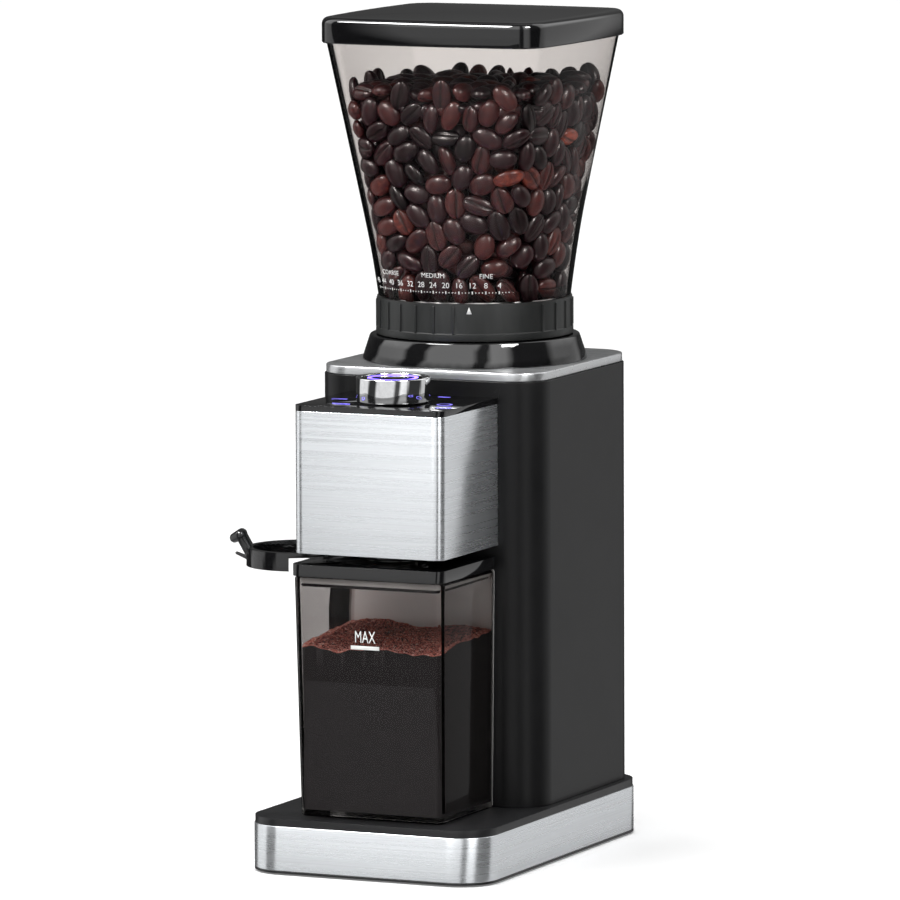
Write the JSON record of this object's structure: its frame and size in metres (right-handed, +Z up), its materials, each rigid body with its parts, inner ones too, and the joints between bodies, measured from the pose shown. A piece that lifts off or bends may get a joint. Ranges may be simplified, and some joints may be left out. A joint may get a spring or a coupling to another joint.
{
  "type": "burr coffee grinder",
  "caption": "Upright burr coffee grinder with a square bean hopper, ribbed grind ring, steel head with a start dial, clear grounds bin and swing-out portafilter ring.",
  "frame": {"origin": "on the standing plane under the middle of the base", "axes": "+Z up, -Y the front where the bin and the head are, +X to the right seen from the front"},
  "size_m": [0.1373, 0.1826, 0.38],
  "materials": {
    "foot_rubber": "matt",
    "black_satin": "satin",
    "dark_screws": "blackened",
    "screws": "plain",
    "brushed_steel": "brushed",
    "column_paint": "satin",
    "satin_steel": "satin",
    "black_gloss": "gloss",
    "ring_plastic": "satin",
    "chrome": "polished",
    "light_ring": "lit",
    "circuit_board": "solder mask",
    "switch_black": "plain",
    "cast_alloy": "as cast",
    "burr_steel": "hardened",
    "shaft_steel": "ground",
    "nylon": "moulded",
    "felt": "pressed",
    "brass": "cut",
    "copper_windings": "enamelled wire",
    "wire_cover": "smooth",
    "smoked_clear": "clear",
    "smoked_bin": "clear",
    "silicone": "translucent"
  },
  "bodies": {
    "root": {"rubber_feet": "foot_rubber", "base_plate": "black_satin", "base_screws": "screws", "base_band": "brushed_steel", "base_deck": "black_satin", "column_shell": "column_paint", "rear_cover": "column_paint", "rear_screws": "dark_screws", "cord_inlet": "black_satin", "top_plate": "satin_steel", "head_wrap": "brushed_steel", "head_body": "black_satin", "head_panel": "black_gloss", "head_screws": "screws", "display_board": "circuit_board", "collar_skirt": "black_gloss", "mill_housing": "cast_alloy", "adjuster_sleeve": "cast_alloy", "spindle_bearings": "shaft_steel", "chamber_seal": "felt", "gearbox_case": "cast_alloy", "gearbox_cover": "cast_alloy", "gearbox_screws": "screws", "idler_pin": "shaft_steel", "motor_can": "shaft_steel", "motor_magnets": "switch_black", "motor_end_cap": "black_satin", "motor_bearings": "shaft_steel", "motor_brushes": "switch_black", "motor_cradle": "black_satin", "motor_cushion": "foot_rubber", "chute": "nylon", "spout": "black_gloss", "power_board": "circuit_board", "bin_sensor": "black_satin", "motor_leads": "wire_cover"},
    "dial": {"dial_ring": "chrome", "dial_hub": "black_satin"},
    "start_button": {"start_button": "black_gloss", "button_light_ring": "light_ring"},
    "grind_ring": {"grind_ring": "ring_plastic"},
    "burr_carrier": {"burr_carrier": "cast_alloy", "ring_burr": "burr_steel", "ring_burr_screws": "screws"},
    "spindle": {"cone_burr": "burr_steel", "burr_bolt": "screws", "impeller": "nylon", "burr_shaft": "shaft_steel", "output_gear": "nylon"},
    "idler": {"idler_gear": "nylon"},
    "rotor": {"motor_rotor": "copper_windings", "motor_pinion": "brass"},
    "hopper": {"hopper": "smoked_clear", "hopper_base": "smoked_clear"},
    "hopper_lid": {"hopper_lid": "black_gloss", "lid_seal": "silicone"},
    "bin": {"grounds_bin": "smoked_bin", "bin_lid": "black_gloss", "bin_lid_seal": "silicone"},
    "holder": {"portafilter_holder": "black_gloss"}
  },
  "joints": [
    {"name": "burr_spin", "type": "hinge", "parent": "root", "child": "spindle", "pos_m": [0, 0.0334, 0], "axis": [0, 0, 1], "continuous": true},
    {"name": "idler_spin", "type": "hinge", "parent": "root", "child": "idler", "pos_m": [-0.0198, 0.0532, 0], "axis": [0, 0, 1], "continuous": true},
    {"name": "rotor_spin", "type": "hinge", "parent": "root", "child": "rotor", "pos_m": [0, 0.0334, 0], "axis": [0, 0, 1], "continuous": true},
    {"name": "grind_turn", "type": "hinge", "parent": "root", "child": "grind_ring", "pos_m": [0, 0.0334, 0], "axis": [0, 0, -1], "range_deg": [-23.5, 68.6]},
    {"name": "carrier_lift", "type": "slide", "parent": "root", "child": "burr_carrier", "axis": [0, 0, 1], "range_m": [-0.00026, 0.00076]},
    {"name": "dial_turn", "type": "hinge", "parent": "root", "child": "dial", "pos_m": [0, -0.0545, 0], "axis": [0, 0, 1], "continuous": true},
    {"name": "start_press", "type": "slide", "parent": "root", "child": "start_button", "axis": [0, 0, -1], "range_m": [0, 0.0012], "stiffness_N_per_m": 800, "springref_m": -0.001},
    {"name": "hopper_lift", "type": "slide", "parent": "root", "child": "hopper", "axis": [0, 0, 1], "range_m": [0, 0.03]},
    {"name": "lid_lift", "type": "slide", "parent": "hopper", "child": "hopper_lid", "axis": [0, 0, 1], "range_m": [0, 0.04]},
    {"name": "bin_slide", "type": "slide", "parent": "root", "child": "bin", "axis": [0, -1, 0], "range_m": [0, 0.125]},
    {"name": "holder_swing", "type": "hinge", "parent": "root", "child": "holder", "pos_m": [0, -0.052, 0], "axis": [0, 0, 1], "range_deg": [0, 90]}
  ],
  "couplings": [
    {"joint": "idler_spin", "follows": "rotor_spin", "ratio": -0.33333},
    {"joint": "burr_spin", "follows": "rotor_spin", "ratio": 0.11111},
    {"joint": "grind_turn", "follows": "carrier_lift", "rad_per_m": 1570.8}
  ]
}
